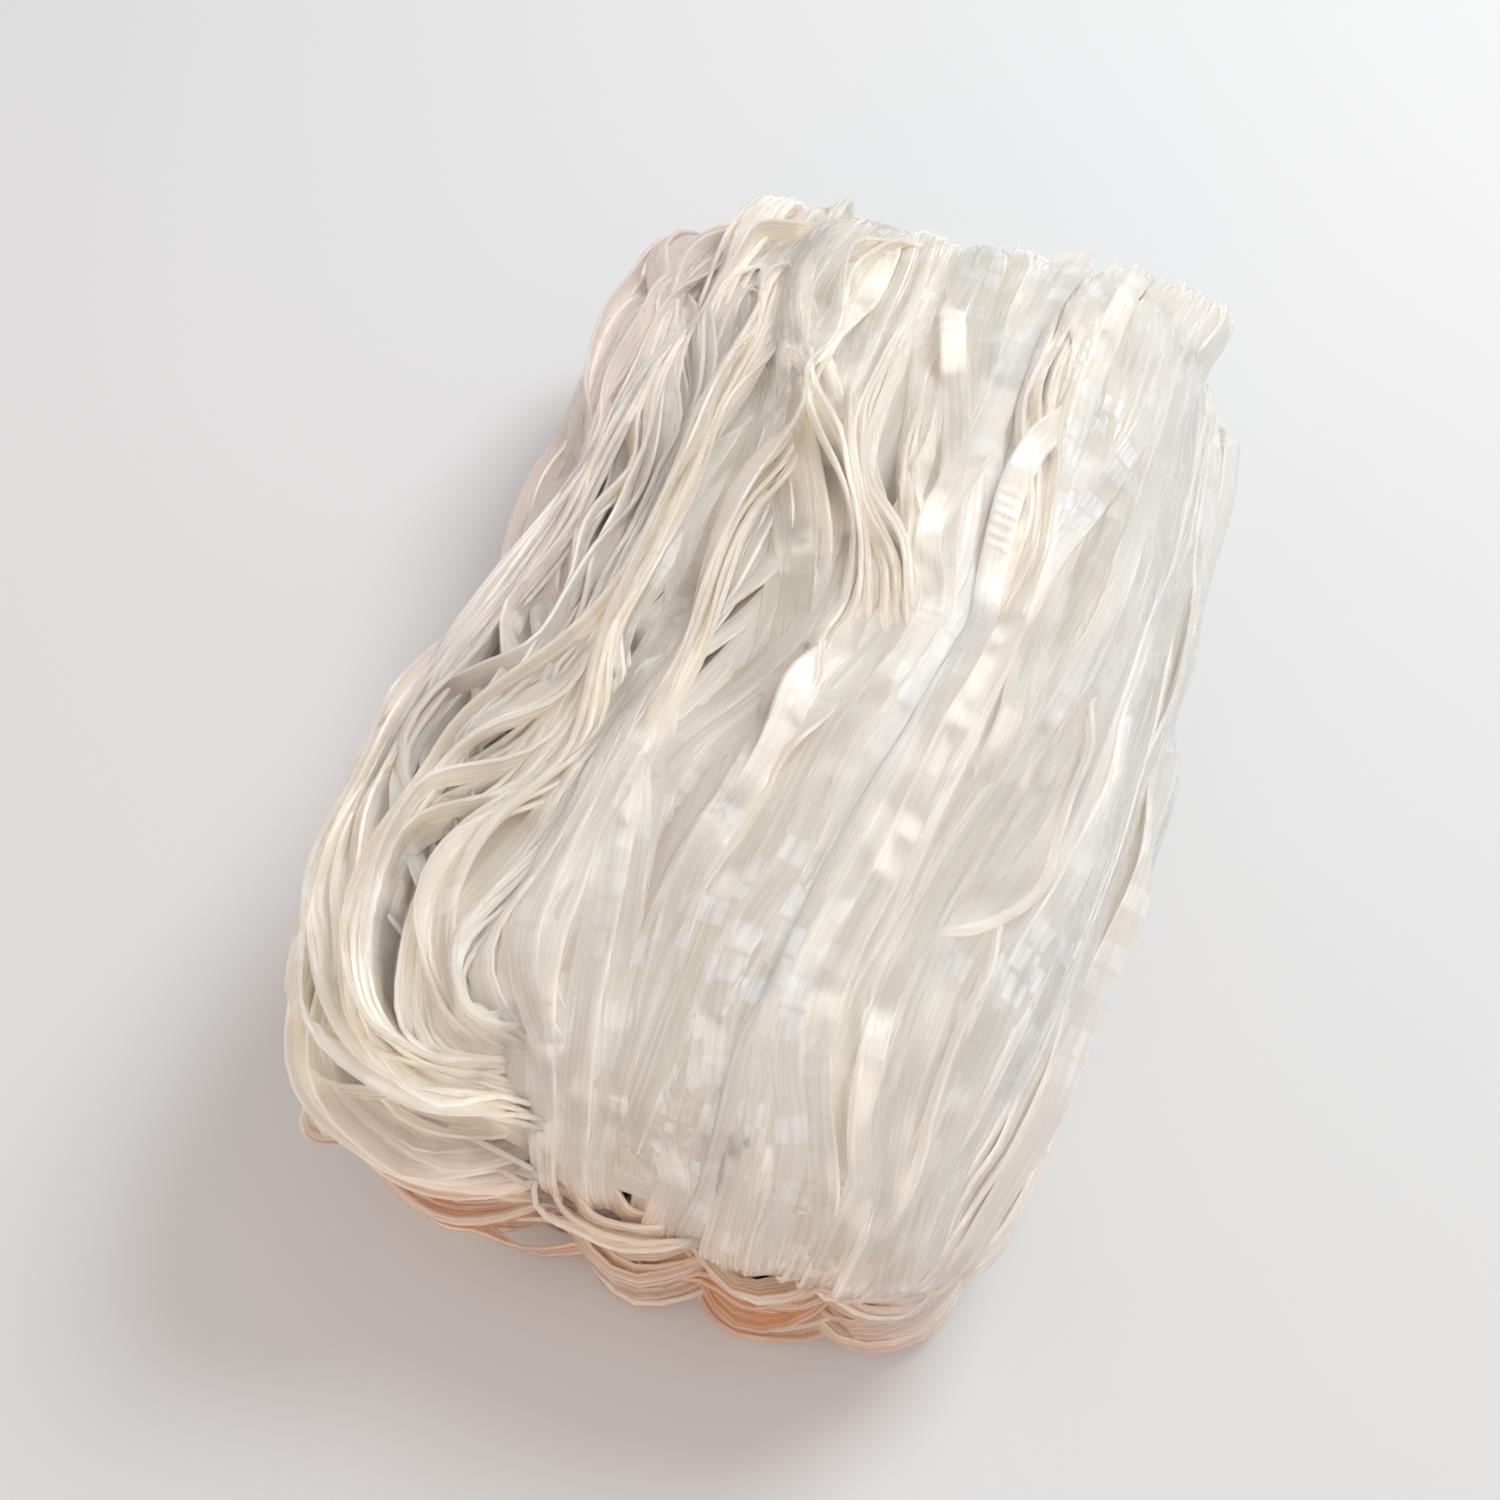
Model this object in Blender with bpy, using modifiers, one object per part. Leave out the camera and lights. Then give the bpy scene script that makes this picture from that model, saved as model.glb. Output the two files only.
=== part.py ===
"""Block of dried flat noodles: one long hank folded lengthwise and lying on its flat side.

X runs across the block, Y along its strands and Z up. The origin is at the bottom, in the
middle of the block's length and width. Each lock of noodles is a flat racetrack: an upper run,
a turn over the near end, a hidden return run and a turn over the far end. Lengths are in
millimetres until a mesh is made.
"""

import math
from collections import namedtuple

import bmesh
import bpy
import numpy as np
from mathutils import Vector

MM = 0.001

# One noodle: a flat ribbon, cut square.
NOODLE_WIDTH = 5.0
NOODLE_THICKNESS = 0.95

# Y of the places that give an upper run's X, from the far end to the near end, and Y of the
# places on a return run, from the near end to the far end.
UPPER_STATIONS = (84.0, 43.0, -2.0, -47.0, -84.0)
RETURN_STATIONS = (-80.0, -28.0, 28.0, 80.0)
TURN_ANGLES = (45.0, 90.0, 135.0)

# Pieces in each span of a noodle, and of the two sides of a lock's inside, whose sums are equal.
NOODLE_PIECES = (1, 1, 2, 1, 2, 2, 2, 2, 1, 2, 1, 1)
OVER_PIECES = (2, 2, 3, 3, 3, 3, 2, 2)
UNDER_PIECES = (2, 2, 4, 4, 4, 2, 2)

# The block keeps its height almost to its ends, where it rounds off.
END_HALF_LENGTH = 118.0
END_POWER = 5.0
END_ROUNDNESS = 0.4

# The solid inside lies this far under its noodles. It is built from cells of one size, then
# smoothed, thinned to about this many triangles, and cut flat underneath at this height.
CORE_DEPTH = 1.6
CORE_SIDE_DEPTH = 0.5
CORE_LEAST = 0.5
CORE_CELL = 4.5
CORE_SMOOTHING = 3
CORE_TRIANGLES = 1500
BASE_CUT = 2.2

# How a noodle strays from its lock: sideways, outwards, and its lean in degrees.
STRAY_SIDEWAYS = 2.4
STRAY_OUTWARDS = 0.5
STRAY_LEAN = 24.0
STRAY_WAVES = (0.5, 1.0, 1.7)
SEED = 7

NOODLE_COLOUR = (0.78, 0.72, 0.61, 1.0)
NOODLE_ROUGHNESS = 0.34

Lock = namedtuple("Lock", "name upper height back_x back_height near far half noodles lean")

# upper: X of the upper run at UPPER_STATIONS. back_x, back_height: the return run. near, far: Y
# of the two turns. half: half of the lock's width. noodles: how many of them show.
LOCKS = (
    Lock("upper_left_side", (-65, -67, -60, -50, -46), 46, -44, 18, -92, 109, 8, 2, 20),
    Lock("outer_loop", (-48, -54, -60, -65, -64), 48, 8, 42, -106, 108, 9, 3, 0),
    Lock("middle_loop", (-37, -39, -41, -54, -54), 57, 4, 46, -100, 115, 7, 2, 0),
    Lock("inner_loop", (-25, -22, -22, -34, -38), 66, 0, 50, -95, 109, 5, 2, 0),
    Lock("crossed_band", (-12, -7, 2, -16, -15), 73, -12, 32, -103, 107, 6, 2, 14),
    Lock("diagonal", (-32, -22, -5, 3, 2), 72, 2, 40, -100, 106, 5, 1, 40),
    Lock("centre_band_1", (9, 16, 8, 1, -1), 76, -2, 38, -102, 106, 6, 2, 18),
    Lock("centre_band_2", (1, 9, 16, 11, 9), 75, 8, 34, -103, 107, 5, 1, 24),
    Lock("centre_band_3", (22, 25, 23, 18, 14), 76, 14, 34, -104, 106, 6, 2, 16),
    Lock("right_band_1", (34, 35, 30, 24, 21), 74, 20, 34, -105, 105, 6, 1, 16),
    Lock("right_band_2", (42, 42, 38, 31, 31), 71, 28, 32, -106, 106, 6, 2, 14),
    Lock("right_band_3", (50, 50, 46, 39, 38), 66, 32, 26, -107, 106, 6, 1, 16),
    Lock("right_shoulder", (56, 59, 60, 58, 49), 57, 36, 20, -107, 104, 6, 2, 16),
    Lock("right_side", (63, 65, 66, 65, 57), 44, 40, 14, -102, 105, 7, 2, 14),
    Lock("base_left", (-65, -67, -66, -60, -49), 16, -8, 15, -109, 112, 15, 2, 8),
    Lock("base_front", (-16, -18, -18, -16, -14), 17, 22, 17, -110, 117, 17, 2, 8),
    Lock("base_middle", (38, 36, 36, 36, 38), 14, 8, 14, -108, 116, 13, 1, 8),
    Lock("base_right", (62, 66, 67, 65, 57), 16, 28, 15, -101, 106, 15, 2, 8),
)


def clear_scene():
    for obj in list(bpy.data.objects):
        bpy.data.objects.remove(obj, do_unlink=True)


def new_collection(name):
    collection = bpy.data.collections.new(name)
    bpy.context.scene.collection.children.link(collection)
    return collection


def height_share(y):
    """Share of the full height that is left at Y."""
    along = min(abs(y) / END_HALF_LENGTH, 0.999)
    return (1.0 - along**END_POWER) ** END_ROUNDNESS


def half_turn(start, stop, reach):
    """Points of the half ellipse that leads from start to stop by way of Y = reach."""
    middle = (start + stop) / 2
    arm = (start - stop) / 2
    depth = Vector((0, reach - middle.y, 0))
    angles = [math.radians(angle) for angle in TURN_ANGLES]
    return [middle + arm * math.cos(angle) + depth * math.sin(angle) for angle in angles]


def guides_of(lock):
    """The lock's upper run, near turn, return run and far turn, in the order that it runs."""
    upper = [
        Vector((x, y, lock.height * height_share(y))) for x, y in zip(lock.upper, UPPER_STATIONS)
    ]
    back = [
        Vector((lock.back_x, y, lock.back_height * height_share(y))) for y in RETURN_STATIONS
    ]
    near = half_turn(upper[-1], back[0], lock.near)
    far = half_turn(back[-1], upper[0], lock.far)
    return upper, near, back, far


def spline(guides, pieces):
    """Points of a Catmull-Rom curve through the guides, with so many pieces in each span."""
    points = []
    for i, count in enumerate(pieces):
        start, stop = guides[i], guides[i + 1]
        before = guides[max(i - 1, 0)]
        after = guides[min(i + 2, len(guides) - 1)]
        for step in range(count):
            t = step / count
            straight = 2 * start + (stop - before) * t
            square = (2 * before - 5 * start + 4 * stop - after) * t**2
            cube = (3 * start - before - 3 * stop + after) * t**3
            points.append((straight + square + cube) / 2)
    return points + [guides[-1].copy()]


def turn_normal(outer, inner):
    """Normal of the plane that holds two runs along Y."""
    return Vector((0, 1, 0)).cross(outer - inner).normalized()


def make_bar(name, sections, collection):
    """A four-sided bar: a cube cut along its length, whose sections are then put in place.

    A section is its middle, half of its width as a vector, and half of its thickness as one.
    """
    last = len(sections) - 1
    bm = bmesh.new()
    bmesh.ops.create_cube(bm, size=2.0)
    lengthwise = [e for e in bm.edges if abs(e.verts[0].co.x - e.verts[1].co.x) > 1.0]
    bmesh.ops.subdivide_edges(bm, edges=lengthwise, cuts=last - 1, use_grid_fill=True)
    for vert in bm.verts:
        middle, wide, thick = sections[round((vert.co.x + 1) / 2 * last)]
        vert.co = (middle + wide * vert.co.y + thick * vert.co.z) * MM
    bmesh.ops.triangulate(bm, faces=bm.faces)
    bmesh.ops.recalc_face_normals(bm, faces=bm.faces)
    mesh = bpy.data.meshes.new(name)
    bm.to_mesh(mesh)
    bm.free()
    bar = bpy.data.objects.new(name, mesh)
    collection.objects.link(bar)
    return bar


def stray(rng, count, size):
    """A smooth random offset for each section of a noodle."""
    along = np.linspace(0.0, 1.0, count)
    waves = [
        rng.normal() * np.sin(2 * math.pi * (turns * along + rng.random()))
        for turns in STRAY_WAVES
    ]
    return sum(waves) * size / math.sqrt(len(STRAY_WAVES))


def make_noodle(lock, index, rng, collection):
    """A noodle of the lock, from inside the near end, over the upper run, into the far end."""
    upper, near, back, far = guides_of(lock)
    guides = [back[0]] + near[::-1] + upper[::-1] + far[::-1] + [back[-1]]
    points = spline(guides, NOODLE_PIECES)
    count = len(points)
    near_normal = turn_normal(upper[-1], back[0])
    far_normal = turn_normal(upper[0], back[-1])
    place = (2 * index + 1) / lock.noodles - 1
    sideways = stray(rng, count, STRAY_SIDEWAYS) + place * (lock.half - NOODLE_WIDTH / 2)
    outwards = stray(rng, count, STRAY_OUTWARDS)
    lean = np.radians(stray(rng, count, STRAY_LEAN) + lock.lean)
    sections = []
    for i, point in enumerate(points):
        ahead = (points[min(i + 1, count - 1)] - points[max(i - 1, 0)]).normalized()
        share = min(max((point.y - lock.near) / (lock.far - lock.near), 0), 1)
        normal = near_normal.lerp(far_normal, share)
        normal = (normal - ahead * normal.dot(ahead)).normalized()
        out = normal.cross(ahead)
        across = normal * math.cos(lean[i]) + out * math.sin(lean[i])
        middle = point + normal * sideways[i] + out * outwards[i]
        thick = ahead.cross(across) * (NOODLE_THICKNESS / 2)
        sections.append((middle, across * (NOODLE_WIDTH / 2), thick))
    return make_bar(f"{lock.name}_{index + 1}", sections, collection)


def make_lock_body(lock, collection):
    """The inside of a lock, solid from its upper run to its return run."""
    upper, near, back, far = guides_of(lock)
    over = spline([near[1], near[0]] + upper[::-1] + [far[2], far[1]], OVER_PIECES)
    under = spline([near[1], near[2]] + back + [far[0], far[1]], UNDER_PIECES)
    sections = []
    for top, low in list(zip(over, under))[1:-1]:
        span = top - low
        wide = span.normalized() * max(span.length / 2 - CORE_DEPTH, CORE_LEAST)
        sections.append(((top + low) / 2, wide, turn_normal(top, low) * (lock.half - CORE_SIDE_DEPTH)))
    return make_bar(f"{lock.name}_body", sections, collection)


def evaluated_copy(obj, name, collection):
    """A new object with the mesh of obj after its modifiers."""
    graph = bpy.context.evaluated_depsgraph_get()
    mesh = bpy.data.meshes.new_from_object(obj.evaluated_get(graph))
    copy = bpy.data.objects.new(name, mesh)
    collection.objects.link(copy)
    return copy


def join_meshes(objects, name, collection):
    bm = bmesh.new()
    for obj in objects:
        bm.from_mesh(obj.data)
    mesh = bpy.data.meshes.new(name)
    bm.to_mesh(mesh)
    bm.free()
    joined = bpy.data.objects.new(name, mesh)
    collection.objects.link(joined)
    return joined


def keep_largest_body(mesh):
    """Drops loose scraps and the walls of sealed hollows, so that one solid body is left."""
    bm = bmesh.new()
    bm.from_mesh(mesh)
    left = set(bm.faces)
    bodies = []
    while left:
        body = [left.pop()]
        for face in body:
            for edge in face.edges:
                for other in edge.link_faces:
                    if other in left:
                        left.remove(other)
                        body.append(other)
        bodies.append(body)
    largest = max(bodies, key=lambda body: sum(face.calc_area() for face in body))
    loose = [face for body in bodies if body is not largest for face in body]
    bmesh.ops.delete(bm, geom=loose, context="FACES")
    bm.to_mesh(mesh)
    bm.free()


def make_core(collection):
    """The lumpy inside of the whole block, cut flat underneath."""
    bodies = [make_lock_body(lock, collection) for lock in LOCKS]
    rough = join_meshes(bodies, "rough_core", collection)
    remesh = rough.modifiers.new("Remesh", "REMESH")
    remesh.mode = "VOXEL"
    remesh.voxel_size = CORE_CELL * MM
    smooth = rough.modifiers.new("Smooth", "SMOOTH")
    smooth.iterations = CORE_SMOOTHING
    core = evaluated_copy(rough, "core", collection)
    keep_largest_body(core.data)
    triangulate = core.modifiers.new("Triangulate", "TRIANGULATE")
    decimate = core.modifiers.new("Decimate", "DECIMATE")
    decimate.ratio = CORE_TRIANGLES / (2 * len(core.data.polygons))
    core = evaluated_copy(core, "trimmed_core", collection)
    bm = bmesh.new()
    bm.from_mesh(core.data)
    geometry = bm.verts[:] + bm.edges[:] + bm.faces[:]
    cut = bmesh.ops.bisect_plane(
        bm,
        geom=geometry,
        plane_co=(0, 0, BASE_CUT * MM),
        plane_no=(0, 0, -1),
        clear_outer=True,
    )
    rim = [item for item in cut["geom_cut"] if isinstance(item, bmesh.types.BMEdge)]
    bmesh.ops.contextual_create(bm, geom=rim)
    bmesh.ops.triangulate(bm, faces=bm.faces)
    bmesh.ops.recalc_face_normals(bm, faces=bm.faces)
    bm.to_mesh(core.data)
    bm.free()
    return core


def noodle_material():
    material = bpy.data.materials.new("dried_noodle")
    material.use_nodes = True
    shader = material.node_tree.nodes["Principled BSDF"]
    shader.inputs["Base Color"].default_value = NOODLE_COLOUR
    shader.inputs["Roughness"].default_value = NOODLE_ROUGHNESS
    shader.inputs["Metallic"].default_value = 0.0
    return material


def centre_over_origin(mesh):
    """Moves the mesh so that its box stands on the origin."""
    places = np.array([vert.co for vert in mesh.vertices])
    low, high = places.min(axis=0), places.max(axis=0)
    offset = Vector((-(low[0] + high[0]) / 2, -(low[1] + high[1]) / 2, -low[2]))
    for vert in mesh.vertices:
        vert.co += offset


def main():
    clear_scene()
    parts = new_collection("dried_noodle_block")
    helpers = new_collection("helpers")
    noodles = new_collection("noodles")
    rng = np.random.default_rng(SEED)
    core = make_core(helpers)
    for lock in LOCKS:
        for index in range(lock.noodles):
            make_noodle(lock, index, rng, noodles)
    union = core.modifiers.new("Union", "BOOLEAN")
    union.operation = "UNION"
    union.operand_type = "COLLECTION"
    union.collection = noodles
    union.solver = "EXACT"
    block = evaluated_copy(core, "noodle_block", parts)
    keep_largest_body(block.data)
    centre_over_origin(block.data)
    block.data.materials.clear()
    block.data.materials.append(noodle_material())
    for collection in (helpers, noodles):
        for obj in list(collection.objects):
            bpy.data.objects.remove(obj, do_unlink=True)
        bpy.data.collections.remove(collection)


main()
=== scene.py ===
import math

import bmesh
import bpy
import numpy as np
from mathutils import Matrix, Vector
from mathutils.kdtree import KDTree


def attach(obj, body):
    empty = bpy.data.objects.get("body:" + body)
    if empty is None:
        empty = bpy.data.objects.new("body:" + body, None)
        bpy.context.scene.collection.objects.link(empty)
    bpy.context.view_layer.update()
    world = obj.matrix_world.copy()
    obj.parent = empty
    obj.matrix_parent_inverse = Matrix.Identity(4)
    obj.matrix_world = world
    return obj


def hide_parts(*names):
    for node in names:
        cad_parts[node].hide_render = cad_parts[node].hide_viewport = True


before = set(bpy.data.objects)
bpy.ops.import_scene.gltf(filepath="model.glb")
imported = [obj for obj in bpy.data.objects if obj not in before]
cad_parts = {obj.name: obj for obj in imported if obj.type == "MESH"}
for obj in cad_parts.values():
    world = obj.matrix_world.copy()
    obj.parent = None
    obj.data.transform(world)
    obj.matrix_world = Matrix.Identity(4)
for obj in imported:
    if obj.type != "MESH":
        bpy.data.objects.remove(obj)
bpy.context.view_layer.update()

# Lengths are in millimetres until a mesh is made. Routes are drawn with Y along the noodles, from
# the looped near end (low Y) to the far end, and blockShift then sets them on the block.
mm = 0.001
blockNode = "noodle_block"
blockShift = np.array((-0.1, -3.3, -2.2))
seed = 11

# Y of the places that give the X of a lock's upper run and of its hidden return run.
upperStations = (84, 43, -2, -47, -84)
returnStations = (-80, -28, 28, 80)

noodleSize = {
    "width": 5.0,
    "thickness": 0.85,
    "edgeCut": 0.35,          # how far the two faces stop short of the edges
    "section": 3.7,           # length of one section
    "pitch": 1.2,             # from one noodle to the next in a stack
    "widthVariation": 0.09,
    "creaseAngle": 38,        # corners sharper than this stay sharp
}

# How the block's height falls off at its ends, as shares of its half length.
blockEnds = {"halfLength": 118.0, "power": 5.0, "roundness": 0.4, "last": 0.999}


def heightShare(y):
    # share of the full height that is left at Y
    along = np.minimum(np.abs(y) / blockEnds["halfLength"], blockEnds["last"])
    return (1 - along ** blockEnds["power"]) ** blockEnds["roundness"]


def rgb(red, green, blue):
    # a colour given in picture values 0-255
    parts = [value / 255 for value in (red, green, blue)]
    return tuple(p / 12.92 if p < 0.04 else ((p + 0.055) / 1.055) ** 2.4 for p in parts) + (1.0,)


# A lock is a flat racetrack of noodles: upper run, near turn, return run and far turn. Its noodles
# lie in rows side by side and in levels below each other. Leans are in degrees.
lockDefaults = {
    "rows": 2,
    "levels": 3,
    "lean": 4,
    "leanStray": 9,
    "wander": 1.8,            # sideways stray that the noodles of a row share
    "stray": 1.3,             # sideways stray of each noodle
    "rise": 0.7,              # stray in height
    "depth": 3.8,             # how far the top level lies under the guides
}
lockStep = 0.25               # sideways shift from level to level, as a share of the width
lockToneAndShade = (0.4, 0.6)         # least tone and its random share: 0 is milky, 1 is ivory; these lower noodles get the more ivory tones, partly at random and partly as painted shade under the top ones
singleHalf = 3                # half the width of a lock of one row


def lock(name, piece, upper, height, back, near, far, half, **changes):
    return {
        **lockDefaults, "name": name, "piece": piece, "upper": upper, "height": height,
        "back": back, "near": near, "far": far, "half": half, **changes,
    }


side, loop, centre, right, base, under = (
    "side_noodles", "loop_noodles", "centre_noodles", "right_noodles", "base_noodles",
    "underside_noodles",
)
locks = [
    lock("upper_left_side", side, (-69, -65, -58, -50, -46), 46, (-44, 18), -92, 112, 9, rows=3,
         levels=4, lean=10, depth=1),
    lock("upper_left_rim", side, (-57, -56, -53, -46, -44), 54.5, (-30, 24), -90, 112, 6,
         levels=5, lean=6, depth=1),
    lock("far_left_corner", side, (-59, -55, -50, -48, -48), 42, (-40, 20), -80, 108, 6, rows=3,
         levels=2, depth=1),
    lock("loop_window", loop, (-36, -37, -38, -40, -39), 61, (0, 40), -90, 80, 11, rows=5,
         levels=3, depth=0.5, wander=1),
    lock("outer_loop", loop, (-48, -55, -61, -66, -63), 51, (8, 42), -105, 108, 10, rows=4,
         levels=6, lean=0, depth=1),
    lock("middle_loop", loop, (-37, -39, -41, -54, -54), 58.5, (4, 46), -100, 113, 9, rows=4,
         levels=5, lean=0, depth=1.5),
    lock("inner_loop", loop, (-25, -22, -22, -34, -38), 66, (0, 50), -95, 103, 7, rows=3,
         levels=6, lean=0, depth=1.5),
    lock("crossed_band", centre, (-12, -7, 2, -16, -15), 73, (-12, 32), -103, 107, 7, rows=3,
         depth=3),
    lock("diagonal", centre, (-32, -22, -5, 3, 2), 72, (2, 40), -100, 106, 5, rows=3, depth=2),
    lock("centre_band_1", centre, (9, 16, 8, 1, -1), 76, (-2, 38), -102, 109, 6),
    lock("centre_band_2", centre, (1, 9, 16, 11, 9), 75, (8, 34), -103, 110, 5),
    lock("centre_band_3", centre, (22, 25, 23, 18, 14), 76, (14, 34), -104, 109, 6),
    lock("right_band_1", right, (34, 35, 30, 24, 21), 74, (20, 34), -105, 105, 6),
    lock("right_band_2", right, (42, 42, 38, 31, 31), 71, (28, 32), -106, 106, 6),
    lock("right_band_3", right, (50, 50, 46, 39, 38), 66, (32, 26), -107, 106, 7),
    lock("right_band_4", right, (54, 56, 54, 49, 45), 61, (34, 24), -107, 105, 7),
    lock("right_shoulder", right, (56, 59, 60, 58, 49), 56, (36, 20), -107, 104, 7),
    lock("right_side", right, (61, 62, 67, 63, 55), 44, (40, 14), -102, 105, 9, rows=3),
    lock("base_left", base, (-65, -63, -66, -64, -51), 16, (-8, 15), -109, 112, 16, lean=32),
    lock("base_front", base, (-16, -18, -18, -16, -14), 17, (22, 17), -110, 117, 17, lean=32),
    lock("base_middle", base, (38, 36, 36, 36, 38), 14, (8, 14), -108, 116, 13, lean=-32),
    lock("base_right", base, (61, 63, 65, 63, 56), 16, (28, 15), -104, 106, 16, lean=-32),
    lock("under_top_left", centre, (-30, -28, -27, -29, -28), 63.5, (0, 40), -91, 101, 16, rows=8,
         levels=3, wander=2, depth=1),
    lock("near_middle", centre, (2, 2, 2, 1, 1), 66.5, (2, 30), -104, 98, 16, rows=7, levels=2,
         wander=1.5, depth=1),
    lock("under_top_right", right, (24, 26, 24, 22, 20), 64, (12, 34), -100, 102, 26, rows=9,
         levels=1, wander=4),
]

# The noodles that show are drawn one by one over the locks, from the far end to the near end.
# Lean goes from 0, lying flat, to 90, standing on edge, for even steps along these points.
photoView = (0.17, -0.5, 0.85)    # the way towards the eye
onEdge = {"facing": photoView, "leanStray": 5, "depthStep": 2.0, "sink": 1.3, "width": 0.75}
flushEdge = {
    **onEdge, "sink": 1.7, "width": 0.6, "depthStep": 1.25, "wander": 0.6, "stray": 0.5,
    "near": "tuck", "levels": 4, "lean": (66, 76, 78, 76),
}
fanFill = {"near": "tuck", "far": "tuck", "sink": 2.6}
leftLoop = {"near": "tuck", "stray": 0.6, "wander": 0.5, "levels": 6}
# loops of the near end, which stand on edge as seen from above them
nearLoop = {
    "near": "tuck", "far": "tuck", "facing": photoView, "lean": (84,), "section": 2.4,
    "stray": 0.6, "wander": 0.4,
}
traceDefaults = {
    "levels": 3,
    "depthStep": noodleSize["pitch"],
    "lean": (0,),
    "leanStray": 9,
    "facing": None,           # where the flat faces look, when not out of the block
    "near": "over",           # an end goes over the block's end, or has a "tuck" or an "end"
    "far": "over",
    "wander": 0.7,
    "stray": 1.5,
    "rise": 0.4,
    "sink": 0,                # how far the points are drawn into the block
    "width": 1.0,
    "section": noodleSize["section"],
}
traceStep = 0.3               # as lockStep, from the second level on
traceTone = 0.5               # greatest tone: the top noodles stay paler than those under them
traceTurning = 0.3            # share of a lock noodle's tilting as it settles
startSpread = 1000            # longest start of the marks along a noodle


def trace(name, piece, points, **changes):
    return {**traceDefaults, "name": name, "piece": piece, "points": points, **changes}


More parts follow.
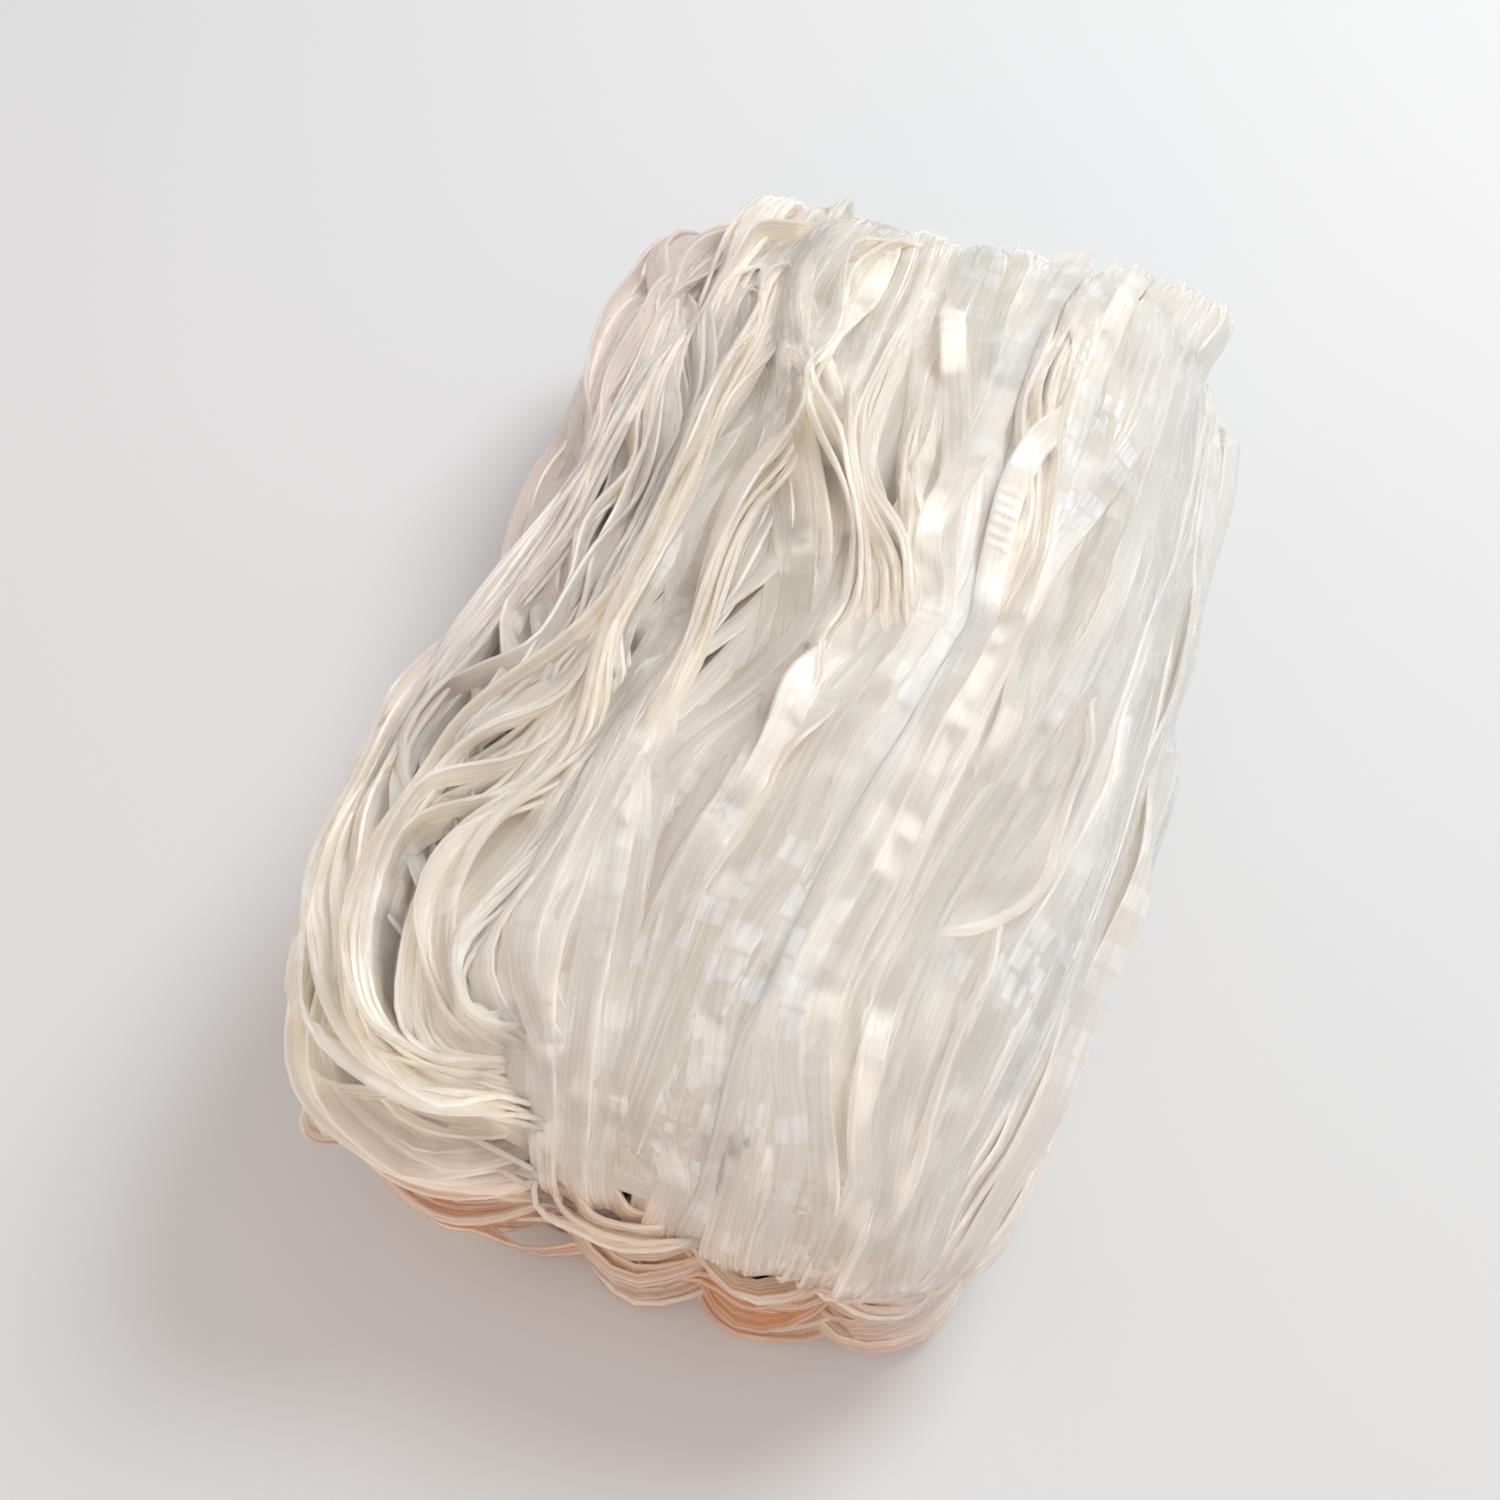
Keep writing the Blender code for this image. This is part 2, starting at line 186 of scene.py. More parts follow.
traces = [
    trace("left_rim", side, ((-69, 77, 40), (-66, 44, 46), (-58, 13, 54), (-65, -43, 53),
          (-66, -64, 50), (-65, -76, 47), (-57, -91, 48)), levels=4, lean=(10, 20, 30, 20)),
    trace("loop_0", loop, ((-57, 34, 47), (-60, -8, 50), (-62, -40, 49), (-63, -58, 46),
          (-63, -74, 42), (-61, -84, 39), (-57, -93, 38), (-52, -100, 37), (-46, -105, 36),
          (-38, -108, 35), (-28, -108, 34), (-15, -104, 33)), far="tuck",
          lean=(25, 35, 50, 65, 75), **leftLoop),
    trace("loop_low", loop, ((-64, -60, 37), (-64, -76, 34), (-61, -88, 31), (-55, -98, 29),
          (-47, -105, 28), (-37, -109, 27), (-25, -108, 26), (-14, -102, 26)), far="tuck",
          near="tuck", levels=6, depthStep=1.6, facing=photoView, lean=(72,), section=2.4),
    trace("loop_1", loop, ((-58, 83, 45), (-59, 55, 47), (-57, -5, 54), (-60, -23, 54),
          (-65, -39, 51), (-65, -61, 52), (-64, -73, 51), (-60, -88, 50), (-53, -100, 46),
          (-43, -106, 39), (-33, -108, 36)), lean=(25, 35, 45, 60, 75),
          **leftLoop),
    trace("loop_2", loop, ((-49, 65, 50), (-47, 37, 55), (-53, -18, 56), (-59, -48, 56),
          (-59, -67, 56), (-54, -84, 56), (-47, -97, 54), (-38, -103, 49), (-28, -104, 45),
          (-16, -98, 45)), lean=(20, 35, 45, 55, 75, 80), **leftLoop),
    trace("loop_3", loop, ((-46, 61, 54), (-38, 33, 60), (-39, -12, 61), (-41, -27, 62),
          (-51, -55, 60), (-52, -70, 59), (-49, -84, 57), (-42, -95, 55), (-34, -100, 53),
          (-25, -100, 51), (-15, -94, 50)), lean=(20, 35, 45, 60, 78, 80), **leftLoop),
    trace("loop_4", loop, ((-45, 64, 53), (-39, 46, 59), (-36, -30, 62), (-48, -66, 60),
          (-47, -78, 59), (-42, -89, 57), (-35, -97, 56), (-27, -98, 54), (-15, -92, 53)),
          lean=(20, 35, 40, 60, 78, 82), **{**leftLoop, "levels": 5}),
    trace("loop_5", loop, ((-32, 61, 64), (-34, 54, 61), (-38, 27, 60), (-38, 8, 61),
          (-32, -28, 64), (-31, -41, 67), (-38, -50, 63), (-44, -70, 60), (-42, -80, 59),
          (-37, -90, 58), (-31, -95, 58), (-25, -95, 57), (-15, -89, 55)),
          lean=(20, 30, 45, 65, 80, 82), **leftLoop),
    trace("loop_6", loop, ((-25, -19, 69), (-27, -27, 67), (-30, -61, 65), (-35, -78, 63),
          (-33, -88, 62), (-29, -92, 61), (-24, -92, 60), (-15, -86, 57)), far="tuck",
          lean=(30, 60, 80, 84), **{**leftLoop, "levels": 7}),
    trace("band_1", centre, ((-16, 87, 67), (-20, 43, 70), (-25, 28, 63), (-27, 18, 62),
          (-24, -15, 69), (-24, -29, 69), (-20, -65, 71), (-17, -88, 69), (-14, -101, 60),
          (-12, -107, 42))),
    trace("band_2", centre, ((-13, 92, 64), (-15, 60, 68), (-20, 30, 68), (-21, 9, 67),
          (-18, -17, 67), (-19, -26, 69), (-16, -51, 73), (-12, -76, 71), (-10, -89, 68),
          (-8, -101, 60), (-7, -106, 42))),
    trace("curl_round", centre, ((-31, 70, 65), (-26, 55, 72), (-17, 36, 71), (-12, 18, 70),
          (-11, 11, 70), (-15, -7, 67), (-21, -30, 69), (-15, -46, 72), (-5, -85, 69),
          (-2, -96, 66)), lean=(50, 66, 76, 70, 35, 5, 0), **onEdge),
    trace("sweep_edge", centre, ((-9, 65, 71), (-8, 41, 71), (2, 1, 74), (1, -8, 74),
          (-7, -25, 74), (-12, -49, 71), (-8, -76, 69)), near="tuck",
          lean=(66, 76, 76, 74, 45, 5), **onEdge),
    trace("edge_1", centre, ((-22, 49, 70), (0, 10, 73), (2, -2, 74), (0, -9, 75), (2, -19, 76),
          (0, -39, 77)), far="tuck", **{**flushEdge, "lean": (76, 78)}),
    trace("edge_2", centre, ((-16, 58, 70), (-10, 37, 73), (4, 10, 75), (8, 1, 77)), **flushEdge),
    trace("edge_3", centre, ((-11, 68, 68), (-12, 49, 73), (2, 14, 74)), **flushEdge),
    trace("edge_4", centre, ((-6, 71, 71), (-3, 33, 73), (1, 22, 74), (12, 2, 76)), **flushEdge),
    trace("edge_5", centre, ((-5, 57, 72), (0, 30, 74), (13, 5, 75)), **flushEdge),
    trace("edge_6", centre, ((-2, 65, 69), (4, 36, 73), (11, 14, 78)), **flushEdge),
    trace("edge_7", centre, ((3, 69, 72), (2, 57, 72), (4, 40, 73), (13, 15, 77)), **flushEdge),
    trace("fan_fill_1", centre, ((-16, 75, 66), (-12, 45, 69), (-4, 15, 71), (-4, -15, 71)),
          **fanFill),
    trace("fan_fill_2", centre, ((-8, 78, 67), (-6, 45, 70), (2, 15, 72), (3, -15, 72)),
          **fanFill),
    trace("fan_fill_3", centre, ((0, 80, 67), (0, 45, 71), (6, 15, 73), (6, -12, 73)),
          **fanFill),
    trace("fan_fill_4", centre, ((8, 80, 68), (6, 45, 72), (10, 20, 74), (9, -5, 74)),
          **fanFill),
    trace("tip", centre, ((24, 105.5, 65.5), (24, 100, 66.5), (23, 92, 68), (21, 64, 74),
          (19, 36, 77), (14, 5, 75), (1, -42, 76), (-1, -59, 75), (-2, -70, 73), (1, -88, 67),
          (5, -97, 63), (8, -103, 55)), far="end", levels=2),
    trace("band_3", centre, ((6, 72, 73), (16, 34, 77), (21, 6, 77), (14, -32, 76), (13, -52, 74),
          (9, -70, 71), (12, -88, 66), (15, -98, 59))),
    trace("eye_left", right, ((21, 78, 72), (21, 61, 75), (24, 40, 76), (29, 25, 75),
          (30, 12, 75), (26, -19, 76), (19, -56, 75), (18, -79, 71), (21, -96, 65)),
          lean=(60, 76, 66, 20, 0, 0, 0), **onEdge),
    trace("eye_right", right, ((24, 83, 69), (25, 61, 75), (27, 45, 76), (30, 26, 74),
          (31, 11, 75)), near="tuck", lean=(60, 78, 80), **onEdge),
    trace("band_4", right, ((32, 97, 64), (32, 82, 69), (36, 52, 73), (32, 32, 75), (32, 13, 75),
          (24, -52, 73), (21, -73, 71), (22, -84, 68), (26, -92, 64))),
    trace("band_5", right, ((36, 99, 63), (35, 63, 72), (36, 32, 74), (29, -47, 72),
          (26, -80, 67), (33, -99, 60))),
    trace("band_6", right, ((49, 90, 61), (47, 61, 68), (36, 10, 73), (29, -40, 72),
          (22, -65, 72), (18, -82, 70), (19, -95, 65))),
    trace("band_7", right, ((42, 96, 63), (40, 60, 69), (38, 32, 72), (40, 7, 71), (39, -22, 71)),
          near="tuck"),
    trace("band_8", right, ((54, 84, 59), (53, 59, 64), (50, 6, 66), (38, -49, 67), (35, -71, 68),
          (35, -81, 67), (39, -96, 56))),
    trace("band_9", right, ((55, 80, 54), (58, 39, 57), (56, 6, 58), (51, -25, 59), (42, -58, 62),
          (42, -78, 59), (45, -97, 50))),
    trace("shoulder_1", right, ((60, 92, 41), (63, 70, 43), (63, 21, 56), (61, -14, 58),
          (53, -60, 56), (50, -92, 50), (50, -103, 46))),
    trace("shoulder_2", right, ((62, 83, 44), (64, 40, 46), (67, 0, 44), (64, -49, 44),
          (62, -71, 41), (57, -93, 36), (54, -101, 31))),
    trace("shoulder_3", right, ((68, 10, 40), (69, -12, 39), (66, -52, 37), (64, -76, 33),
          (58, -98, 26)), far="tuck"),
    trace("thin_curve", right, ((55, -2, 60), (52, -18, 60), (50, -32, 61), (43, -46, 63.5),
          (33, -56, 67)), far="tuck", near="tuck", levels=1, lean=(84,), width=0.35,
          facing=photoView, section=2.4, sink=0.8),
    trace("thin_line", right, ((49, -48, 61), (45, -68, 61), (42, -82, 59), (43, -92, 55)),
          far="tuck", levels=1, lean=(84,), width=0.4, facing=photoView, section=2.4, sink=0.8),
    trace("hook_strand", centre, ((-12, 107, 56), (-13, 108.5, 57), (-11, 109.5, 58),
          (-7, 109, 58), (-4, 107, 58), (-1, 102, 60), (2, 94, 62), (6, 80, 64)), near="tuck",
          far="end", levels=1, lean=(78,), width=0.25, facing=photoView, section=1.6, wander=0,
          rise=0),
    trace("far_curl", side, ((-60, 90, 43), (-59, 96, 45.5), (-56, 99, 47), (-52, 98, 46.5),
          (-50, 93, 46)), far="tuck", near="tuck", levels=1, lean=(70,), width=0.6,
          facing=photoView, section=1.6, wander=0),
    trace("smile", centre, ((-13, -97, 46), (-13, -102, 36), (-8, -109, 33), (0, -112, 32),
          (8, -111, 32), (13, -108, 33), (17, -101, 36), (20, -95, 44)), levels=9, depthStep=1.9,
          **nearLoop),
    trace("smile_top", centre, ((-12, -98, 52), (-8, -103, 46), (-2, -105, 43), (5, -105, 43),
          (10, -103, 46), (14, -98, 52)), levels=4, depthStep=2.2, **nearLoop),
    trace("low_strand", centre, ((-10, -103, 17), (-3, -108, 15), (3, -111, 14), (8, -110, 14),
          (12, -105, 15), (14, -99, 20)), levels=1, **nearLoop),
    trace("side_strand", loop, ((-18, -92, 40), (-21, -100, 36), (-22, -105, 33), (-18, -108, 31),
          (-11, -108, 31), (-4, -107, 32)), levels=2, **nearLoop),
    trace("ribs", base, ((6, -105, 20), (12, -109, 16), (17, -110, 15), (22, -110, 15),
          (30, -107, 15), (34, -103, 18), (36, -96, 24)), levels=6, depthStep=2.2, **nearLoop),
    trace("ribs_right", base, ((33, -101, 18), (36, -104, 16), (40, -105, 14), (46, -104, 14),
          (52, -102, 14), (56, -96, 16), (60, -86, 20), (62, -76, 24)), levels=5, depthStep=2.2,
          **nearLoop),
    trace("ribs_left", base, ((-53, -90, 11), (-46, -102, 9), (-39, -109, 8), (-32, -112, 8),
          (-21, -111, 8), (-11, -107, 9), (-5, -98, 14)), levels=9, depthStep=2.2, **nearLoop),
    trace("curve_6", centre, ((-41, 78, 53), (-43, 71, 53), (-38, 48, 60), (-37, 17, 61)),
          near="tuck", lean=(60, 72, 70), **onEdge),
    trace("curve_8", centre, ((-35, 61, 60), (-27, 48, 65), (-31, 28, 62), (-29, -9, 62)),
          near="tuck", lean=(60, 72, 60), **onEdge),
    trace("left_1", side, ((-60, 79, 45), (-52, 45, 52), (-51, 28, 55), (-53, -20, 56),
          (-55, -48, 60)), near="tuck"),
    trace("left_2", side, ((-55, 90, 42), (-50, 65, 53), (-45, 34, 55), (-44, 4, 56),
          (-46, -41, 62)), near="tuck", lean=(0, 20)),
]

# Where two noodles that show run alike, others lie between them, a little lower.
between = {
    "left": {
        "pairs": (("loop_0", "loop_1"), ("left_rim", "loop_1"), ("loop_1", "loop_2"),
                  ("loop_2", "loop_3"), ("loop_3", "loop_4"), ("loop_4", "loop_5"),
                  ("left_1", "left_2"), ("left_2", "curve_6"), ("left_rim", "left_1")),
        "shares": (0.3, 0.55, 0.8),
        "lower": 1.2,
        "changes": {"levels": 3, "lean": (25, 40, 55, 70, 78), "stray": 0.6, "wander": 0.6},
    },
    "right": {
        "pairs": (("band_1", "curl_round"), ("tip", "band_3"), ("band_3", "eye_left"),
                  ("eye_left", "band_4"), ("band_4", "band_5"), ("band_5", "band_6"),
                  ("band_6", "band_8"), ("band_8", "band_9"), ("band_9", "shoulder_1"),
                  ("shoulder_1", "shoulder_2"), ("curve_6", "curve_8"), ("curve_8", "curl_round"),
                  ("curl_round", "sweep_edge"), ("edge_3", "edge_5"), ("edge_5", "edge_7"),
                  ("edge_7", "tip")),
        "shares": (0.4, 0.7),
        "lower": 2.2,
        "changes": {"levels": 3, "wander": 1.2},
    },
}
evenCount = 14                # places on each trace of a pair


def layBetween(rng):
    byName = {one["name"]: one for one in traces}
    noodles = []
    for part, how in between.items():
        for names in how["pairs"]:
            pair = [np.array(byName[name]["points"], float) for name in names]
            if part == "right":
                low = max(points[-1, 1] for points in pair)
                pair = [cutShort(points, low) for points in pair]
            first, second = (evenPlaces(points) for points in pair)
            for share in how["shares"]:
                points = first + (second - first) * share
                points -= outOfBlock(points) * how["lower"]
                one = {**byName[names[0]], **how["changes"], "points": points}
                if any(byName[name]["near"] == "tuck" for name in names):
                    one["near"] = "tuck"
                noodles += layTrace(one, rng)
    return noodles


def cutShort(points, low):
    # the part of a trace that lies beyond Y = low
    if points[-1, 1] >= low:
        return points
    keep = points[:, 1] > low
    kept, following = points[keep], points[~keep][0]
    share = (kept[-1, 1] - low) / (kept[-1, 1] - following[1])
    return np.vstack((kept, kept[-1] + (following - kept[-1]) * share))


def evenPlaces(points):
    # the same number of places on any trace, at even steps
    run = np.append(0, np.cumsum(np.linalg.norm(np.diff(points, axis=0), axis=1)))
    even = np.linspace(0, run[-1], evenCount)
    return np.stack([np.interp(even, run, points[:, k]) for k in range(3)], axis=1)


# Y and Z of the way down over each end, with the share of X that is left there. A place counts if
# it lies at least turnDrop under the last place that shows.
endTurns = {
    "near": ((-106.0, 40.0, 0.97), (-99.0, 22.0, 0.88), (-74.0, 15.0, 0.75)),
    "far": ((106.0, 57.0, 1.0), (115.0, 41.0, 0.98), (108.0, 22.0, 0.9), (80.0, 15.0, 0.8)),
}
turnDrop = 6
# How far on and how far down the guides of a tucked tail are, and the length that touches nothing.
tuckedTail = ((5, 3.5), (13, 10), (24, 20))
tailLength = 24
# The block as a rounded box, which tells the way out of it.
blockForm = {"middle": (0.0, 0.0, 34.0), "half": (71.0, 118.0, 42.0), "powers": (2.0, 5.0, 2.0)}


def outOfBlock(places):
    # the way out of the block at each place
    local = (places - np.array(blockForm["middle"])) / blockForm["half"]
    return unit(np.sign(local) * np.abs(local) ** np.array(blockForm["powers"]) / blockForm["half"])


def endGuides(last, heading, end, kind):
    # guides that take a noodle on from its last place that shows: over the end, or under others
    if kind == "tuck":
        out = outOfBlock(last[None])[0]
        return [last + heading * along - out * down for along, down in tuckedTail]
    if kind == "end":
        return []
    turn = [place for place in endTurns[end] if place[1] < last[2] - turnDrop]
    return [np.array((last[0] * share, y, z)) for y, z, share in turn]


def layTrace(one, rng):
    # the noodles of a trace: its first level where the points say, the others under it
    points = np.array(one["points"], float)
    points -= outOfBlock(points) * one["sink"]
    far = endGuides(points[0], unit(points[0] - points[1]), "far", one["far"])
    near = endGuides(points[-1], unit(points[-1] - points[-2]), "near", one["near"])
    route, along, marks = smoothRoute(np.array(far[::-1] + list(points) + near), one["section"])
    ahead = unit(np.gradient(route, axis=0))
    out = outOfBlock(route)
    out = unit(out - ahead * (out * ahead).sum(1, keepdims=True))
    front = out
    if one["facing"]:
        front = unit(one["facing"] - ahead * (ahead @ np.array(one["facing"]))[:, None])
    sideways = np.cross(front, ahead)
    solid = np.ones(len(along), bool)
    if one["near"] == "tuck":
        solid &= along < along[-1] - tailLength
    if one["far"] == "tuck":
        solid &= along > tailLength
    shown = np.linspace(marks[len(far)], marks[-1 - len(near)], len(one["lean"]))
    lean = np.interp(along, (-tailLength, *shown, along[-1] + tailLength), (0, *one["lean"], 0))
    lean = lean + wave(rng, along, one["leanStray"])
    drift = wave(rng, along, one["wander"])
    noodles = []
    for level in range(one["levels"]):
        own = np.radians(lean + wave(rng, along, one["leanStray"] * min(level, 1)))[:, None]
        across = sideways * np.cos(own) + front * np.sin(own)
        face = front * np.cos(own) - sideways * np.sin(own)
        stray = drift + wave(rng, along, one["stray"] * min(level, 1))
        stray += noodleSize["width"] * traceStep * (-1) ** level * min(level, 1)
        depth = level * one["depthStep"] + wave(rng, along, one["rise"])
        noodles.append({
            "middle": route + across * stray[:, None] - face * depth[:, None],
            "across": across,
            "out": out,
            "along": along + rng.random() * startSpread,
            "piece": one["piece"],
            "width": one["width"],
            "solid": solid,
            "turning": traceTurning,
            "tone": traceTone * rng.random(),
        })
    return noodles


# Noodles that wander from one lock to its neighbour, near those that show.
weave = {
    "count": 30,
    "levels": 2,
    "above": 0.5,             # height of every third one over the middle of its two locks
    "below": -1,              # height of the others
    "shareStray": 0.3,
    "shorter": 3,             # how far its turns fall short of the lock's
    "lean": 6,
    "wander": 1.8,
}


def layWeave(rng):
    noodles = []
    tops = sorted((one for one in locks if one["piece"] != base), key=lambda one: one["upper"][2])
    for turn in range(weave["count"]):
        first = int(rng.integers(len(tops) - 1))
        pair = [tops[first], tops[first + 1]]
        if rng.random() < 0.5:
            pair.reverse()
        places = len(upperStations)
        share = np.linspace(0, 1, places) + rng.normal(0, weave["shareStray"], places)
        share = np.clip(share, 0, 1)
        upper, height, back = (
            [np.array(one[key], float) for one in pair] for key in ("upper", "height", "back")
        )
        level = float(sum(height)) / 2 + weave["above" if turn % 3 == 0 else "below"]
        wandering = lock(
            "weave", pair[0]["piece"], upper[0] + (upper[1] - upper[0]) * share, level,
            tuple(sum(back) / 2), pair[0]["near"] + weave["shorter"],
            pair[0]["far"] - weave["shorter"], singleHalf, rows=1, levels=weave["levels"],
            lean=rng.normal(0, weave["lean"]), wander=weave["wander"],
        )
        noodles += layLock(wandering, rng)
    return noodles


turnAngles = (45, 90, 135)    # where a turn's half ellipse has guides


def halfTurn(start, stop, reach):
    # the half ellipse from start to stop by way of Y = reach
    middle, arm = (start + stop) / 2, (start - stop) / 2
    depth = np.array((0, reach - middle[1], 0))
    angles = np.radians(turnAngles)[:, None]
    return middle + arm * np.cos(angles) + depth * np.sin(angles)


def guidesOf(one):
    # hidden start, near turn, upper run, far turn and hidden end, with the turns' plane normals
    upper = [(x, y, one["height"] * heightShare(y)) for x, y in zip(one["upper"], upperStations)]
    upper = np.array(upper)
    x, z = one["back"]
    back = np.array([(x, y, z * heightShare(y)) for y in returnStations])
    near = halfTurn(upper[-1], back[0], one["near"])
    far = halfTurn(back[-1], upper[0], one["far"])
    guides = np.vstack((back[:1], near[::-1], upper[::-1], far[::-1], back[-1:]))
    nearNormal = unit(np.cross((0, 1, 0), upper[-1] - back[0]))
    farNormal = unit(np.cross((0, 1, 0), upper[0] - back[-1]))
    return guides, nearNormal, farNormal


def unit(vectors):
    return vectors / np.linalg.norm(vectors, axis=-1, keepdims=True)


curveSteps = 40               # steps of a curve for each guide


def smoothRoute(guides, section=noodleSize["section"]):
    # a smooth curve through the guides, cut into sections of equal length
    chord = np.linalg.norm(np.diff(guides, axis=0), axis=1)[:, None]
    slope = np.diff(guides, axis=0) / chord
    inner = (slope[:-1] * chord[1:] + slope[1:] * chord[:-1]) / (chord[1:] + chord[:-1])
    slopes = np.vstack((slope[:1], inner, slope[-1:]))
    place = np.linspace(0, len(guides) - 1, curveSteps * len(guides))
    span = np.minimum(place.astype(int), len(guides) - 2)
    t = (place - span)[:, None]
    start, stop = guides[span], guides[span + 1]
    leave, arrive = slopes[span] * chord[span], slopes[span + 1] * chord[span]
    fine = (
        start * (2 * t**3 - 3 * t**2 + 1) + leave * (t**3 - 2 * t**2 + t)
        + stop * (3 * t**2 - 2 * t**3) + arrive * (t**3 - t**2)
    )
    run = np.concatenate(([0], np.cumsum(np.linalg.norm(np.diff(fine, axis=0), axis=1))))
    count = round(run[-1] / section)
    even = np.linspace(0, run[-1], count + 1)
    marks = np.interp(np.arange(len(guides)), place, run)
    return np.stack([np.interp(even, run, fine[:, k]) for k in range(3)], axis=1), even, marks


# The waves that make up a stray: their length and strength, as shares of the longest and strongest.
strayWaves = {"longest": 260, "parts": ((1.0, 1.0), (0.55, 0.6), (0.32, 0.22)), "size": 0.8}


def wave(rng, along, size):
    # a smooth random stray along a route
    total = np.zeros(len(along))
    for share, strength in strayWaves["parts"]:
        reach = strength * rng.normal()
        turns = along / (strayWaves["longest"] * share) + rng.random()
        total += reach * np.sin(2 * math.pi * turns)
    return total * size * strayWaves["size"]


def layLock(one, rng):
    # every noodle of a lock: middle, across and face of each section, and its length so far
    guides, nearNormal, farNormal = guidesOf(one)
    route, along, _ = smoothRoute(guides)
    ahead = unit(np.gradient(route, axis=0))
    share = np.clip((route[:, 1] - one["near"]) / (one["far"] - one["near"]), 0, 1)[:, None]
    normal = nearNormal + (farNormal - nearNormal) * share
    normal = unit(normal - ahead * (normal * ahead).sum(1, keepdims=True))
    out = np.cross(normal, ahead)
    room = one["half"] - noodleSize["width"] / 2
    noodles = []
    for row in range(one["rows"]):
        place = ((2 * row + 1) / one["rows"] - 1) * room + wave(rng, along, one["wander"])
        height = wave(rng, along, one["rise"])
        lean = one["lean"] + wave(rng, along, one["leanStray"] / 2)
        for level in range(one["levels"]):
            sideways = place + wave(rng, along, one["stray"])
            sideways = sideways + noodleSize["width"] * lockStep * (-1) ** level
            outward = height + wave(rng, along, one["rise"] / 2)
            outward = outward - one["depth"] - level * noodleSize["pitch"]
            own = np.radians(lean + wave(rng, along, one["leanStray"]))[:, None]
            noodles.append({
                "middle": route + normal * sideways[:, None] + out * outward[:, None],
                "across": normal * np.cos(own) + out * np.sin(own),
                "out": out,
                "along": along + rng.random() * startSpread,
                "piece": one["piece"],
                "width": 1.0,
                "solid": np.ones(len(along), bool),
                "turning": 1.0,
                "tone": lockToneAndShade[0] + lockToneAndShade[1] * rng.random(),
            })
    return noodles


# Noodles that lie flat on the underside, with their ends turned up into the block.
underside = {
    "places": np.arange(-58, 60, 4.8),
    "height": 2.9,
    "levelStep": 1.3,
    "backHeight": 16,
    "reach": 103,
    "corners": (75, 4),       # the reach falls off with X as a share of the first, to this power
}
flatLay = {
    "rows": 1, "levels": 1, "lean": 0, "leanStray": 2, "wander": 1.6, "rise": 0.1, "stray": 0.3,
    "depth": 0,
}


def layUnderside(rng):
    noodles = []
    width, power = underside["corners"]
    for x in underside["places"]:
        for level in (0, 1):
            reach = underside["reach"] * (1 - (x / width) ** power)
            height = underside["height"] + level * underside["levelStep"]
            flat = lock("underside", under, (x,) * len(upperStations), height,
                        (x, underside["backHeight"]), -reach, reach, singleHalf, **flatLay)
            noodles += layLock(flat, rng)
    return noodles


# The low locks, whose loops lie loosely: each noodle turns in its own place.
tangle = {
    "count": 16,              # places in each base lock, with two noodles in each
    "inwards": 4.0,           # how far their turns fall short of the outermost, mostly
    "follow": 0.7,            # share of that by which the runs lie further in
    "heights": (4.5, 29.0),
    "tilt": 3.0,
    "lean": 12,
    "wander": 1.2,
}


def layTangle(one, rng):
    noodles = []
    low, high = tangle["heights"]
    for turn in range(tangle["count"]):
        height = low + (high - low) * (turn + 0.5) / tangle["count"]
        inwards = abs(rng.normal(0, tangle["inwards"])) * (turn % 3 > 0)
        upper = np.array(one["upper"], float)
        drawn = inwards * np.sign(one["back"][0] - upper.mean()) * tangle["follow"]
        tilted = rng.normal(0, tangle["tilt"], 2)
        loose = lock(
            one["name"], one["piece"], upper + drawn, max(height + tilted[0], low),
            (one["back"][0] - drawn, max(height + tilted[1], low)), one["near"] + inwards,
            one["far"] - inwards, singleHalf, rows=1, levels=2, depth=0,
            lean=one["lean"] + rng.normal(0, tangle["lean"]), wander=tangle["wander"],
        )
        noodles += layLock(loose, rng)
    return noodles


settling = {
    "rounds": 26,
    "reach": 5.6,             # how far apart the middles of two touching sections can be
    "gap": 0.06,
    "hold": 0.6,              # half the length that a section holds, as a share of the section
    "pairHold": 1.6,          # how much further along two sections still make a pair
    "deepest": 1.5,           # most depth of a contact that counts
    "sure": 1,                # total height from which one noodle is the outer one of a pair
    "firmness": 0.9,
    "smoothing": 6,           # rounds that even out pushes and tilts along a noodle
    "pushGain": 2.4,
    "tiltGain": 1.8,
    "pull": 0.03,             # share of the way back to its own route in a round
    "sink": 0.03,             # inward move in a round
    "floor": 2.2,             # Z of the surface that the block stands on
    "printEvery": 5,
}


